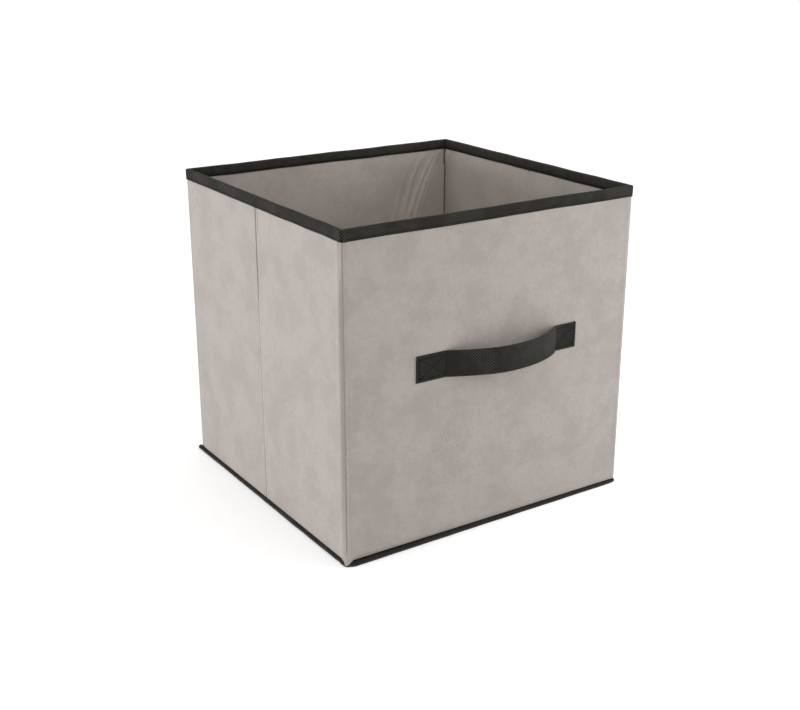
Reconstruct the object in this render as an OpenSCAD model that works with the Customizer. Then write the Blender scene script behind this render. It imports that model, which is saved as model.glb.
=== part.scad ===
// Foldable fabric storage bin: an open-topped cube of non-woven fabric over cardboard
// stiffeners, with bound edges, a sewn front strap handle and a loose base insert.
//
// The origin is on the floor under the middle of the bin. The front wall, with the
// handle, faces -Y, +X is to its right and +Z is up. All sizes are in millimetres.
//
// The bin folds flat front to back: each side wall is two panels that fold inward on a
// sewn line at its middle, and the front wall travels straight towards the back wall.

/* [Overall size] */
// Width across the front wall
bin_w = 322; // [240:1:400]
// Depth from the front wall's outer face to the back wall's
bin_d = 308; // [240:1:400]
// Height from the floor to the top of the rim
bin_h = 310; // [200:1:400]

/* [Walls] */
// Thickness of a cardboard stiffener
board_t = 2; // [1.5:0.1:2.5]
// Thickness of the non-woven fabric, cover and lining alike
fabric_t = 0.5; // [0.3:0.1:0.6]
// Width of the soft strip with no board in it, beside each end of the front and back boards
corner_strip = 7; // [3:0.5:15]

/* [Bindings] */
// Thickness of the binding tape
tape_t = 0.6; // [0.4:0.1:0.6]
// How far the rim binding reaches down the wall
rim_h = 10.5; // [6:0.5:20]
// How far the bound bottom seam stands out from the wall
seam_out = 5; // [3:0.5:8]
// Height of the bound bottom seam
seam_h = 4; // [3:0.5:4]

/* [Base insert] */
// Thickness of the insert's board
insert_board_t = 2; // [1:0.1:2]
// Room between the insert's edge and the wall lining
insert_room = 4; // [2:0.5:10]
// Clearance under the insert
insert_lift = 0.3; // [0.2:0.1:0.3]

/* [Handle] */
// Height of the strap's centre line above the floor
handle_z = 173.5; // [100:0.5:220]
// Middle of the strap's bow, measured from the middle of the front wall
handle_x = 8; // [-30:1:30]
// Width of the strap
strap_w = 25.4; // [15:0.1:40]
// Thickness of the doubled strap
strap_t = 1.6; // [1:0.1:2.5]
// Distance between the two sewn ends of the bow
bow_span = 126; // [80:1:160]
// How far the bow stands off the wall
bow_out = 22; // [15:0.5:30]
// Length of the sewn tab at the strap's left end
left_tab_w = 32; // [20:0.5:40]
// Length of the sewn tab at the strap's right end
right_tab_w = 25; // [20:0.5:40]
// Where the bow starts to swing, measured out from the wall
swing_out = 8; // [6:0.5:10]

/* [Hidden] */
wall_t = board_t + 2 * fabric_t;
wall_z = 4.4;                         // underside of every wall, clear of the insert below it
wall_h = bin_h - tape_t - wall_z;     // up to the inside of the rim binding
floor_t = 0.6;                        // thickness of the base fabric
seam_root_h = seam_h - floor_t;       // the seam's inner part lies on the base fabric
board_gap = 0.1;                      // play of a board in its pocket

corner_axis = 3.4;                    // from a front or back wall's inner face to a corner fold line
corner_gap = 1;                       // side panel's overrun past the corner fold line
middle_gap = 1;                       // from the middle fold line to a side panel's end
side_end = bin_d / 2 - wall_t - corner_axis + corner_gap;
side_len = side_end - middle_gap;

insert_w = bin_w - 2 * (wall_t + insert_room);
insert_d = bin_d - 2 * (wall_t + insert_room);
insert_z = floor_t + insert_lift;
insert_t = insert_board_t + 2 * fabric_t;

bow_r = (pow(bow_span / 2, 2) + pow(bow_out, 2)) / (2 * bow_out);
bow_y = -bin_d / 2 - bow_out + bow_r; // centre of the bow's arc, behind the front wall
swing_x = sqrt(pow(bow_r, 2) - pow(bow_r - bow_out + swing_out, 2));
swing_gap = 0.4;                      // between the bow's fixed and swinging parts

thread_t = 0.4;                       // thickness of a stitched line
thread_inset = 3;                     // from a tab's edge to its stitching

cover_colour = [0.69, 0.66, 0.64];
lining_colour = [0.52, 0.48, 0.45];
tape_colour = [0.19, 0.19, 0.18];
board_colour = [0.72, 0.62, 0.46];
thread_colour = [0.28, 0.28, 0.27];

// ---- Wall panels -------------------------------------------------------------------
// A panel is drawn along +X from 0 to its length, with its outer face at y = 0 and its
// inner face at y = wall_t, and is then stood in its place by one of the modules below.

module at_front() { translate([-bin_w / 2, -bin_d / 2, 0]) children(); }
module at_back() { translate([bin_w / 2, bin_d / 2, 0]) rotate(180) children(); }
module at_left_rear() { translate([-bin_w / 2, side_end, 0]) rotate(-90) children(); }
module at_left_front() { translate([-bin_w / 2, -middle_gap, 0]) rotate(-90) children(); }
module at_right_front() { translate([bin_w / 2, -side_end, 0]) rotate(90) children(); }
module at_right_rear() { translate([bin_w / 2, middle_gap, 0]) rotate(90) children(); }

// Outer fabric, turned in round the ends and the bottom of the board
module cover(len) {
    color(cover_colour)
    difference() {
        translate([0, 0, wall_z])
            cube([len, wall_t - fabric_t, wall_h]);
        translate([fabric_t, fabric_t, wall_z + fabric_t])
            cube([len - 2 * fabric_t, wall_t, wall_h]);
    }
}

// Inner fabric, which closes the board's pocket
module lining(len) {
    color(lining_colour)
    translate([0, wall_t - fabric_t, wall_z])
        cube([len, fabric_t, wall_h]);
}

// Cardboard stiffener, held in its pocket with a soft strip beside each end
module board(len, strip) {
    color(board_colour)
    translate([strip, fabric_t, wall_z + fabric_t + board_gap])
        cube([len - 2 * strip, board_t, wall_h - fabric_t - 2 * board_gap]);
}

// Tape folded over the top edge of the cover, board and lining
module rim_binding(len) {
    color(tape_colour)
    difference() {
        translate([0, -tape_t, bin_h - rim_h])
            cube([len, wall_t + 2 * tape_t, rim_h]);
        translate([-1, 0, 0])
            cube([len + 2, wall_t, bin_h - tape_t]);
    }
}

module front_cover() { at_front() cover(bin_w); }
module front_board() { at_front() board(bin_w, corner_strip); }
module front_lining() { at_front() lining(bin_w); }
module front_rim_binding() { at_front() rim_binding(bin_w); }

module back_cover() { at_back() cover(bin_w); }
module back_board() { at_back() board(bin_w, corner_strip); }
module back_lining() { at_back() lining(bin_w); }
module back_rim_binding() { at_back() rim_binding(bin_w); }

side_strip = fabric_t + 1;            // soft strip beside each end of a side panel's board

module left_rear_cover() { at_left_rear() cover(side_len); }
module left_rear_board() { at_left_rear() board(side_len, side_strip); }
module left_rear_lining() { at_left_rear() lining(side_len); }
module left_rear_rim_binding() { at_left_rear() rim_binding(side_len); }

module left_front_cover() { at_left_front() cover(side_len); }
module left_front_board() { at_left_front() board(side_len, side_strip); }
module left_front_lining() { at_left_front() lining(side_len); }
module left_front_rim_binding() { at_left_front() rim_binding(side_len); }

module right_rear_cover() { at_right_rear() cover(side_len); }
module right_rear_board() { at_right_rear() board(side_len, side_strip); }
module right_rear_lining() { at_right_rear() lining(side_len); }
module right_rear_rim_binding() { at_right_rear() rim_binding(side_len); }

module right_front_cover() { at_right_front() cover(side_len); }
module right_front_board() { at_right_front() board(side_len, side_strip); }
module right_front_lining() { at_right_front() lining(side_len); }
module right_front_rim_binding() { at_right_front() rim_binding(side_len); }

// ---- Base ----------------------------------------------------------------------------

module base_fabric() {
    color(cover_colour)
    translate([-bin_w / 2, -bin_d / 2, 0])
        cube([bin_w, bin_d, floor_t]);
}

// Section of the bound seam outside the wall: flat on the floor with a rounded edge
module seam_section() {
    square([seam_out - seam_h / 2, seam_h]);
    translate([seam_out - seam_h / 2, seam_h / 2])
        circle(d = seam_h, $fn = 32);
}

// One side's bound seam, drawn along +X with the wall's outer face at y = 0
module seam_strip(len) {
    rotate([90, 0, 90])
    linear_extrude(len)
        mirror([1, 0])
        seam_section();
}

// The seam's inner part, which lies on the base fabric under the wall
module seam_root(start, len) {
    translate([start, 0, floor_t])
        cube([len, wall_t, seam_root_h]);
}

// Rounded corner where the front or back seam turns on to the side
module seam_corner() {
    rotate(180)
    rotate_extrude(angle = 90, $fn = 48)
        seam_section();
}

// The front and back seams carry the corners
module long_bottom_binding() {
    color(tape_colour)
    union() {
        seam_strip(bin_w);
        seam_root(0, bin_w);
        seam_corner();
        translate([bin_w, 0, 0])
            rotate(90)
            seam_corner();
    }
}

module side_bottom_binding() {
    color(tape_colour)
    union() {
        seam_strip(bin_d);
        seam_root(wall_t, bin_d - 2 * wall_t);
    }
}

module front_bottom_binding() { at_front() long_bottom_binding(); }
module back_bottom_binding() { at_back() long_bottom_binding(); }
module left_bottom_binding() {
    translate([-bin_w / 2, bin_d / 2, 0]) rotate(-90) side_bottom_binding();
}
module right_bottom_binding() {
    translate([bin_w / 2, -bin_d / 2, 0]) rotate(90) side_bottom_binding();
}

// ---- Loose base insert ---------------------------------------------------------------

module insert_slab(margin, z, height) {
    translate([-insert_w / 2 + margin, -insert_d / 2 + margin, z])
        cube([insert_w - 2 * margin, insert_d - 2 * margin, height]);
}

module insert_board() {
    color(board_colour)
    insert_slab(fabric_t, insert_z + fabric_t, insert_board_t);
}

// Top sheet, turned down round the board's edges
module insert_top_cover() {
    color(lining_colour)
    difference() {
        insert_slab(0, insert_z, insert_t);
        insert_slab(fabric_t, insert_z - 1, insert_t - fabric_t + 1);
    }
}

module insert_bottom_cover() {
    color(lining_colour)
    insert_slab(fabric_t, insert_z, fabric_t);
}

// ---- Handle ----------------------------------------------------------------------------

// The whole bow: an arc of strap with its ends meeting the front wall
module bow_arc() {
    translate([handle_x, bow_y, handle_z - strap_w / 2])
    difference() {
        cylinder(r = bow_r, h = strap_w, $fn = 180);
        translate([0, 0, -1])
            cylinder(r = bow_r - strap_t, h = strap_w + 2, $fn = 180);
    }
}

// A block in front of the wall between two places along the bow
module bow_window(x_from, x_to) {
    translate([handle_x + x_from, -bin_d / 2 - bow_out - 1, handle_z - strap_w / 2 - 1])
        cube([x_to - x_from, bow_out + 1, strap_w + 2]);
}

module handle_strap() {
    color(tape_colour)
    intersection() {
        bow_arc();
        bow_window(-swing_x + swing_gap / 2, swing_x - swing_gap / 2);
    }
}

// A tab sewn flat on the wall, with the first stretch of the bow rising from it
module handle_left_tab() {
    color(tape_colour)
    union() {
        translate([handle_x - bow_span / 2 - left_tab_w, -bin_d / 2 - strap_t, handle_z - strap_w / 2])
            cube([left_tab_w + strap_t, strap_t, strap_w]);
        intersection() {
            bow_arc();
            bow_window(-bow_span / 2, -swing_x - swing_gap / 2);
        }
    }
}

module handle_right_tab() {
    color(tape_colour)
    union() {
        translate([handle_x + bow_span / 2 - strap_t, -bin_d / 2 - strap_t, handle_z - strap_w / 2])
            cube([right_tab_w + strap_t, strap_t, strap_w]);
        intersection() {
            bow_arc();
            bow_window(swing_x + swing_gap / 2, bow_span / 2);
        }
    }
}

// One straight line of stitches on a tab's face, from the middle of the box outward
module stitch_line(len, angle) {
    rotate([0, angle, 0])
    translate([-len / 2, -thread_t, -thread_t])
        cube([len, thread_t, 2 * thread_t]);
}

// A box of stitching crossed corner to corner
module box_stitching(x_middle, tab_w) {
    w = tab_w - 2 * thread_inset;
    h = strap_w - 2 * thread_inset;
    color(thread_colour)
    translate([x_middle, -bin_d / 2 - strap_t, handle_z])
    union() {
        for (side = [-1, 1]) {
            translate([0, 0, side * h / 2])
                stitch_line(w + 2 * thread_t, 0);
            translate([side * w / 2, 0, 0])
                stitch_line(h + 2 * thread_t, 90);
            stitch_line(sqrt(w * w + h * h), side * atan2(h, w));
        }
    }
}

module handle_left_stitching() {
    box_stitching(handle_x - bow_span / 2 - left_tab_w / 2, left_tab_w);
}
module handle_right_stitching() {
    box_stitching(handle_x + bow_span / 2 + right_tab_w / 2, right_tab_w);
}

// ---- Nodes -----------------------------------------------------------------------------

back_cover();
back_board();
back_lining();
back_rim_binding();
left_rear_cover();
left_rear_board();
left_rear_lining();
left_rear_rim_binding();
left_front_cover();
left_front_board();
left_front_lining();
left_front_rim_binding();
front_cover();
front_board();
front_lining();
front_rim_binding();
right_rear_cover();
right_rear_board();
right_rear_lining();
right_rear_rim_binding();
right_front_cover();
right_front_board();
right_front_lining();
right_front_rim_binding();
base_fabric();
front_bottom_binding();
back_bottom_binding();
left_bottom_binding();
right_bottom_binding();
insert_board();
insert_top_cover();
insert_bottom_cover();
handle_strap();
handle_left_tab();
handle_right_tab();
handle_left_stitching();
handle_right_stitching();
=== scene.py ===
"""Looks of the foldable fabric storage bin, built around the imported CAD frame."""

import math

import bpy
import numpy as np
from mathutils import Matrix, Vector


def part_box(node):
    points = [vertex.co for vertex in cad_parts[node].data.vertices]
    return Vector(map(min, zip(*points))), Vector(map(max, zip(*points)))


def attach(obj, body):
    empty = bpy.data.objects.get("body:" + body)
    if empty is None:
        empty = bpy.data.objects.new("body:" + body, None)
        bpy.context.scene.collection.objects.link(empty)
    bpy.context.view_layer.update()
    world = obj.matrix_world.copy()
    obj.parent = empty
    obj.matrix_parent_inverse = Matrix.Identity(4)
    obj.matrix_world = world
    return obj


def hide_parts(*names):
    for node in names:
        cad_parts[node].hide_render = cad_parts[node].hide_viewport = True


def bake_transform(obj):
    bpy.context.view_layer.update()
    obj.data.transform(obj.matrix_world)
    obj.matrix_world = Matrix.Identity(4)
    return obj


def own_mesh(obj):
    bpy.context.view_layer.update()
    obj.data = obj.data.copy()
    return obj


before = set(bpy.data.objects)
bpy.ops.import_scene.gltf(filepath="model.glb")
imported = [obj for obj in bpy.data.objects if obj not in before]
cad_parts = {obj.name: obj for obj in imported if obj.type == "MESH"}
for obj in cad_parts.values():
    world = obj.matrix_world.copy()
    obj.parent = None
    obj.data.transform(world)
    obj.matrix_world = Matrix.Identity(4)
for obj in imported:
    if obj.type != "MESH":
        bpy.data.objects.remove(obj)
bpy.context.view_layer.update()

MM = 0.001

# ---- Places taken from the frame ----

cover_lo, cover_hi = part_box("front_cover")
rim_lo, rim_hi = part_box("front_rim_binding")
insert_lo, insert_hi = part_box("insert_top_cover")
strap_lo, strap_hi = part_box("handle_strap")
seam_lo, seam_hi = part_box("front_bottom_binding")

HALF_W = cover_hi.x  # outer face of a side wall
HALF_D = -cover_lo.y  # outer face of the front or back wall
WALL_Z = cover_lo.z  # underside of the walls
RIM_Z = rim_lo.z  # lower edge of the rim binding
TOP_Z = rim_hi.z  # top of the rim binding
PANEL_END = -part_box("left_front_cover")[0].y  # a side panel's end beside a corner
SEAM_OUT = -seam_lo.y - HALF_D  # how far the bottom seam stands out
SEAM_H = seam_hi.z
SIDES = {"left": -1, "right": 1}  # the sign of x on each side
WALLS = {"front": -1, "back": 1}  # the sign of y on each wall
PANELS = ("left_rear", "left_front", "right_front", "right_rear")
WALL_T = 3 * MM
FABRIC_T = 0.5 * MM
TAPE_T = 0.6 * MM
IN_W = HALF_W - WALL_T  # lining faces
IN_D = HALF_D - WALL_T
CLOTH_TOP = TOP_Z - 2 * MM  # where the wall fabric ends inside the rim binding
CLOTH_H = CLOTH_TOP - WALL_Z

CORNER_STRIP = 3.6 * MM  # width of the corner strip on the front and back walls
COVER_RADIUS = 3 * MM  # of the outer corners
CORNER_EDGE = PANEL_END - 2 * MM  # where a side panel's flat face ends beside a corner
TURN_END = PANEL_END - 1.6 * MM  # where the bend round a corner ends on the side panel
FOLD_EDGE = 3.6 * MM  # from the middle fold line to the flat part of a side panel
LINING_CORNER = 6 * MM  # width of the lining that turns into a corner
LAP = 3 * MM  # how far a crossing strip runs on under the flat face
GRID = 4 * MM  # cell size of the large fabric faces


# ---- Small maths ----

def smooth(t):
    """0 below 0, 1 above 1 and a smooth step between."""
    t = np.clip(t, 0.0, 1.0)
    return t * t * (3.0 - 2.0 * t)


def rise(x, start, width):
    """0 below start, 1 from start + width on and a smooth step between. Both are in mm, x in m."""
    return smooth((x - start * MM) / (width * MM))


def bump(x, middle, half_width):
    """1 at the middle, falling smoothly to 0 at half_width from it."""
    return smooth(1.0 - np.abs(x - middle) / half_width)


def plateau(s, length, edge):
    """1 along a length, falling smoothly to 0 over edge at both its ends."""
    return smooth(s / edge) * smooth((length - s) / edge)


def ripple(seed, shortest, longest, waves=14):
    """A smooth random surface of about -1 to 1: sine waves of lengths from shortest to longest."""
    rng = np.random.default_rng(seed)
    length = np.exp(rng.uniform(math.log(shortest), math.log(longest), waves))
    angle = rng.uniform(0, 2 * math.pi, waves)
    phase = rng.uniform(0, 2 * math.pi, waves)
    weight = np.sqrt(length / longest)
    weight /= np.sqrt((weight ** 2).sum() / 2.0)

    def height(s, z):
        total = 0.0
        for k in range(waves):
            along = s * math.cos(angle[k]) + z * math.sin(angle[k])
            total = total + weight[k] * np.sin(2 * math.pi * along / length[k] + phase[k])
        return total * 0.5

    return height


def spread(low, high, step):
    """Evenly spaced values from low to high, about step apart."""
    return np.linspace(low, high, max(2, int(round((high - low) / step)) + 1))


def edge_spread(length):
    """Distances from 0 to length, closer together near both ends."""
    near = np.array([0.0, 0.4, 0.8, 1.3, 2.0, 3.0, 4.2, 6.0, 8.6]) * MM
    return np.concatenate([near, spread(12 * MM, length - 12 * MM, GRID), length - near[::-1]])


def arc(middle, radius, start_deg, end_deg, count):
    turns = np.radians(np.linspace(start_deg, end_deg, count))
    return [(middle[0] + radius * math.cos(t), middle[1] + radius * math.sin(t)) for t in turns]


def unit(step):
    return step / np.linalg.norm(step)


def distances(line):
    """Distance along a line to each of its points."""
    return np.concatenate([[0.0], np.cumsum(np.linalg.norm(np.diff(line, axis=0), axis=1))])


# ---- Plan paths ----
# A path on the outside of the bin keeps the outside on its right, and so runs along +X on the
# front wall. A path on the inside runs the other way and keeps the room inside on its right.

def rightward(step):
    x, y = unit(np.asarray(step, float))
    return np.array([y, -x])


def straight_counts(corners, step):
    lengths = np.linalg.norm(np.diff(np.asarray(corners, float), axis=0), axis=1)
    return np.maximum(1, np.round(lengths / step).astype(int))


def plan_path(corners, radii=(), counts=None, step=GRID, arc_steps=6):
    """Points along a plan polyline, with each inner corner rounded to its radius."""
    corners = [np.array(c, float) for c in corners]
    counts = straight_counts(corners, step) if counts is None else counts
    points = []
    here = corners[0]
    for k, corner in enumerate(corners[1:]):
        there = corner
        inner = k < len(radii)
        if inner:
            before, after = unit(corner - corners[k]), unit(corners[k + 2] - corner)
            cut = radii[k] * math.tan(math.acos(np.clip(before @ after, -1.0, 1.0)) / 2.0)
            there = corner - before * cut
        points += [here + (there - here) * i / counts[k] for i in range(counts[k])]
        here = there
        if inner:
            here = corner + after * cut
            for t in np.arange(arc_steps) / arc_steps:
                points.append((1 - t) ** 2 * there + 2 * t * (1 - t) * corner + t * t * here)
    return np.array(points + [here])


def offset_corners(corners, out):
    """A plan polyline moved sideways, to the right of the way it runs."""
    corners = np.asarray(corners, float)
    normals = [rightward(step) for step in np.diff(corners, axis=0)]
    moved = []
    for k, corner in enumerate(corners):
        middle = (normals[max(0, k - 1)] + normals[min(k, len(normals) - 1)]) / 2
        moved.append(corner + out * middle / (middle @ middle))
    return moved


def path_frame(path):
    """Distance along a plan path, and its unit normal, to the right of the way it runs."""
    tangent = np.gradient(path, axis=0)
    tangent /= np.linalg.norm(tangent, axis=1)[:, None]
    return distances(path), np.stack([tangent[:, 1], -tangent[:, 0]], axis=1)


def outward_order(points, side):
    """Plan points given for the left side (-1), mirrored for the right (1) and kept in order."""
    points = [(-side * x, y) for x, y in points]
    return points if side < 0 else points[::-1]


def panel_ends(panel, half, near, far):
    """Plan points of a side panel on the outside path, and whether its corner end comes first."""
    side, part = panel.split("_")
    x, out = SIDES[side] * half, (1 if part == "rear" else -1)
    corner_first = (side == "left") == (part == "rear")
    ends = [(x, out * far), (x, out * near)]
    return (ends if corner_first else ends[::-1]), corner_first


# ---- Mesh building ----

def place_object(name, data):
    obj = bpy.data.objects.new(name, data)
    bpy.context.scene.collection.objects.link(obj)
    return obj


def new_mesh(name, verts, faces, uv, material, tone=0.0, sharp_deg=40.0):
    """tone lightens the cloth at each point (above 0) for wear and painted highlights, and darkens it
    (below 0) for pressing and painted shade.
    """
    mesh = bpy.data.meshes.new(name)
    mesh.from_pydata([tuple(v) for v in verts], [], [tuple(f) for f in faces])
    layer = mesh.uv_layers.new(name="UVMap")
    corner_vertex = np.zeros(len(mesh.loops), int)
    mesh.loops.foreach_get("vertex_index", corner_vertex)
    layer.data.foreach_set("uv", np.asarray(uv, float)[corner_vertex].ravel())
    values = np.zeros(len(verts)) + tone
    mesh.attributes.new("tone", "FLOAT", "POINT").data.foreach_set("value", values)
    mesh.materials.append(material)
    mesh.validate()
    mesh.update()
    mesh.shade_smooth()
    mesh.set_sharp_from_angle(angle=math.radians(sharp_deg))
    return place_object(name, mesh)


def grid_faces(nu, nv, start=0):
    i, j = np.meshgrid(np.arange(nu - 1), np.arange(nv - 1), indexing="ij")
    a = start + i * nv + j
    return np.stack([a, a + nv, a + nv + 1, a + 1], axis=-1).reshape(-1, 4)


def ring_faces(rings, sides, start=0):
    """Quads between rings of points that follow one another."""
    low = start + np.arange(rings - 1)[:, None] * sides + np.arange(sides)
    high = low + sides
    quads = np.stack([low, np.roll(low, -1, axis=1), np.roll(high, -1, axis=1), high], axis=-1)
    return quads.reshape(-1, 4).tolist()


def wall_points(path, heights, push, foot=None):
    """Grid of points on a wall that stands on a plan path, pushed outward by push(s, z)."""
    s, normal = path_frame(path)
    z = np.broadcast_to(heights, (len(path), len(heights))).copy()
    if foot is not None:
        z += foot(s)[:, None] * (heights[-1] - z) / (heights[-1] - heights[0])
    grid_s = np.broadcast_to(s[:, None], z.shape)
    out = push(grid_s, z)
    x = path[:, 0][:, None] + normal[:, 0][:, None] * out
    y = path[:, 1][:, None] + normal[:, 1][:, None] * out
    return np.stack([x, y, z], axis=-1), np.stack([grid_s, z], axis=-1)


def tube(name, points, s, section, tone):
    """A closed, capped tube of tape through points[along, around], its tone given round the
    section or as tone(s)."""
    nu, nv = points.shape[:2]
    uv = np.stack(np.broadcast_arrays(s[:, None], distances(section)[None, :]), axis=-1)
    faces = [quad[:1] + quad[:0:-1] for quad in ring_faces(nu, nv)]
    faces.append(list(range(nv)))
    faces.append(list(range((nu - 1) * nv, nu * nv))[::-1])
    tones = np.broadcast_to(tone(s) if callable(tone) else tone, (nu, nv)).ravel()
    return new_mesh(name, points.reshape(-1, 3), faces, uv.reshape(-1, 2), TAPE, tones)


def finish_piece(obj, body=None, blend=None, stands_for=()):
    """Bakes a piece's place when it has a blend, or parents it to its body, and hides the CAD nodes it
    stands for.
    """
    if blend is not None:
        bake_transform(obj)
    else:
        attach(obj, body)
    if stands_for:
        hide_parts(*stands_for)
    return obj


def tape_piece(name, corners, radius, section, wobble, step, tone, body=None, blend=None, stands_for=()):
    """Tape with a section of (outward, up) points, anticlockwise as seen along its path, round
    mitred corners that each section point rounds to its own radius. wobble(s) shifts it all."""
    section = np.asarray(section, float)
    counts = straight_counts(corners, step)

    def line(out):
        radii = [max(radius + out, 0.3 * MM)] * (len(corners) - 2)
        return plan_path(offset_corners(corners, out), radii, counts, arc_steps=8)

    s, normal = path_frame(line(0.0))
    shift = wobble(s)
    plan = np.stack([line(out) for out in section[:, 0]], axis=1)
    plan += normal[:, None, :] * shift[:, 0, None, None]
    up = section[:, 1] + shift[:, 1, None]
    obj = tube(name, np.concatenate([plan, up[..., None]], axis=-1), s, section, tone)
    return finish_piece(obj, body, blend, stands_for)


def cloth_piece(name, points, uv, material, tone, body=None, blend=None, stands_for=()):
    """A closed thin sheet held stretched over the bin's boards. points is
    its shown face, a grid whose u x v faces outward."""
    nu, nv = points.shape[:2]
    normal = np.cross(np.gradient(points, axis=0), np.gradient(points, axis=1))
    normal /= np.linalg.norm(normal, axis=2)[..., None]
    hidden = points - normal * FABRIC_T
    count = nu * nv
    verts = np.concatenate([points.reshape(-1, 3), hidden.reshape(-1, 3)])
    index = np.arange(count).reshape(nu, nv)
    edge = np.concatenate([index[:, 0], index[-1, 1:], index[-2::-1, -1], index[0, -2:0:-1]])
    after = np.roll(edge, -1)
    rim = np.stack([edge + count, after + count, after, edge], axis=1)
    faces = np.concatenate([grid_faces(nu, nv), grid_faces(nu, nv, count)[:, ::-1], rim])
    obj = new_mesh(name, verts, faces, np.tile(uv.reshape(-1, 2), (2, 1)), material,
                   np.tile(np.broadcast_to(tone, (nu, nv)).ravel(), 2))
    finish_piece(obj, body, blend, stands_for)
    return obj


def stitch_row(name, line, normals, material, body=None, blend=None, stands_for=(), radius=0.2 * MM):
    """Separate stitches along a line: each is a short arched thread that dives into the cloth.
    normals is one for each point, or one for them all."""
    stitch, gap = 2.4 * MM, 0.9 * MM
    s = distances(line)
    path = np.column_stack([line, np.broadcast_to(normals, np.shape(line))])
    rings, sides = 5, 6
    arch = np.sin(np.linspace(0, math.pi, rings))[:, None]
    lift = radius * (1.5 * arch - 0.8)
    size = radius * (0.55 + 0.45 * arch)[..., None]
    turn = (2 * math.pi * np.arange(sides) / sides)[:, None]
    verts, faces, uv = [], [], []
    for k in range(int(s[-1] // (stitch + gap))):
        at = k * (stitch + gap) + gap / 2 + np.linspace(0, stitch, rings)
        both = np.stack([np.interp(at, s, values) for values in path.T], axis=1)
        spine, out = both[:, :3], both[:, 3:]
        out /= np.linalg.norm(out, axis=1)[:, None]
        side = np.cross(unit(spine[-1] - spine[0]), out)
        ring = np.cos(turn) * side[:, None] + np.sin(turn) * out[:, None]
        verts += list(((spine + out * lift)[:, None] + ring * size).reshape(-1, 3))
        uv += [(along, a * radius) for along in at for a in range(sides)]
        first, last = k * rings * sides, ((k + 1) * rings - 1) * sides
        faces += ring_faces(rings, sides, first)
        faces.append(list(range(first, first + sides))[::-1])
        faces.append(list(range(last, last + sides)))
    obj = new_mesh(name, verts, faces, uv, material, sharp_deg=70.0)
    finish_piece(obj, body, blend, stands_for)


# ---- Materials ----

class Nodes:
    """Short forms for building a material's node tree. An input is set to a value or linked to
    another node's output, and a colour has its alpha with it."""

    def __init__(self, name):
        self.material = bpy.data.materials.new(name)
        self.material.use_nodes = True
        self.tree = self.material.node_tree
        self.shader = self.tree.nodes["Principled BSDF"]

    def feed(self, node, inputs):
        for key, value in inputs.items():
            if hasattr(value, "is_output"):
                self.tree.links.new(value, node.inputs[key])
            else:
                node.inputs[key].default_value = value

    def add(self, kind, inputs, **settings):
        node = self.tree.nodes.new(kind)
        for key, value in settings.items():
            setattr(node, key, value)
        self.feed(node, inputs)
        return node.outputs

    def finish(self, **inputs):
        """Sets the shader, whose inputs' names are written with _ for a space."""
        self.feed(self.shader, {key.replace("_", " "): value for key, value in inputs.items()})
        return self.material

    def uv(self):
        return self.add("ShaderNodeSeparateXYZ", {0: self.add("ShaderNodeUVMap", {}, uv_map="UVMap")[0]})

    def math(self, operation, a, b=0.0):
        return self.add("ShaderNodeMath", {0: a, 1: b, 2: 0.0}, operation=operation)[0]

    def times(self, a, b):
        return self.math("MULTIPLY", a, b)

    def ramp(self, value, low, high, to_low=0.0, to_high=1.0):
        inputs = {"Value": value, "From Min": low, "From Max": high, "To Min": to_low, "To Max": to_high}
        return self.add("ShaderNodeMapRange", inputs, interpolation_type="SMOOTHSTEP")[0]

    def noise(self, place, scale, detail=2.0, roughness=0.5):
        inputs = {"Vector": place, "Scale": scale, "Detail": detail, "Roughness": roughness}
        return self.add("ShaderNodeTexNoise", inputs)[0]

    def mix(self, factor, a, b):
        return self.add("ShaderNodeMix", {0: factor, 6: a, 7: b}, data_type="RGBA")[2]

    def bump(self, height, strength, distance):
        inputs = {"Strength": strength, "Distance": distance, "Height": height}
        return self.add("ShaderNodeBump", inputs)[0]


def shade(colour, factor):
    return (*(c * factor for c in colour), 1.0)


def nonwoven(name, colour, pitch_mm, cloud=0.94, bond_shade=0.68, wear_and_highlight_shade=1.25, depth=0.12,
             fuzz=0.15, gloss=0.3):
    """Spunbond cloth: matted fibres, cloudy where the web is thicker, pressed with a lattice
    of small bond points, paler where it wears and with painted highlights, and darker where it is
    pressed or soiled and with painted shade."""
    n = Nodes(name)
    along, up, _ = n.uv()
    place = n.add("ShaderNodeTexCoord", {})["Object"]
    turns = 2 * math.pi / (pitch_mm * MM)
    lattice = n.times(n.math("COSINE", n.times(along, turns)), n.math("COSINE", n.times(up, turns)))
    bond = n.ramp(lattice, 0.2, 0.8)
    fibres = n.noise(place, 1100.0, 3.0, 0.65)
    clumps = n.noise(place, 210.0, 4.0, 0.6)
    clouds = n.noise(place, 30.0, 4.0, 0.6)
    web = n.math("ADD", n.times(clumps, 0.5), n.times(clouds, 0.5))
    base = n.mix(n.ramp(web, 0.38, 0.62), shade(colour, 2 - cloud), shade(colour, cloud))
    base = n.mix(n.ramp(fibres, 0.35, 0.65, 0.0, 0.35), base, shade(colour, 0.8))
    patchy = n.ramp(clouds, 0.45, 0.62, 0.10, 1.0)
    base = n.mix(n.times(bond, patchy), base, shade(colour, bond_shade))
    # Tone above 0 lightens it for wear and painted highlights; tone below 0 darkens it for pressing,
    # soiling and painted shade.
    tone = n.add("ShaderNodeAttribute", {}, attribute_name="tone")["Fac"]
    wear_and_highlight_mix = n.times(tone, n.ramp(clumps, 0.35, 0.6, 0.4, 1.0))
    base = n.mix(n.ramp(wear_and_highlight_mix, 0.0, 1.0), base, shade(colour, wear_and_highlight_shade))
    base = n.mix(n.ramp(n.times(tone, -1.0), 0.0, 1.0), base, shade(colour, 0.5))
    height = n.math("ADD", n.times(fibres, 0.5), n.times(clumps, 0.7))
    height = n.math("SUBTRACT", height, n.times(bond, 0.7))
    return n.finish(Base_Color=base, Roughness=n.ramp(bond, 0.0, 1.0, 0.9, 0.65),
                    Specular_IOR_Level=gloss, Sheen_Weight=fuzz, Sheen_Roughness=0.6,
                    Normal=n.bump(height, 1.0, depth * MM))


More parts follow.
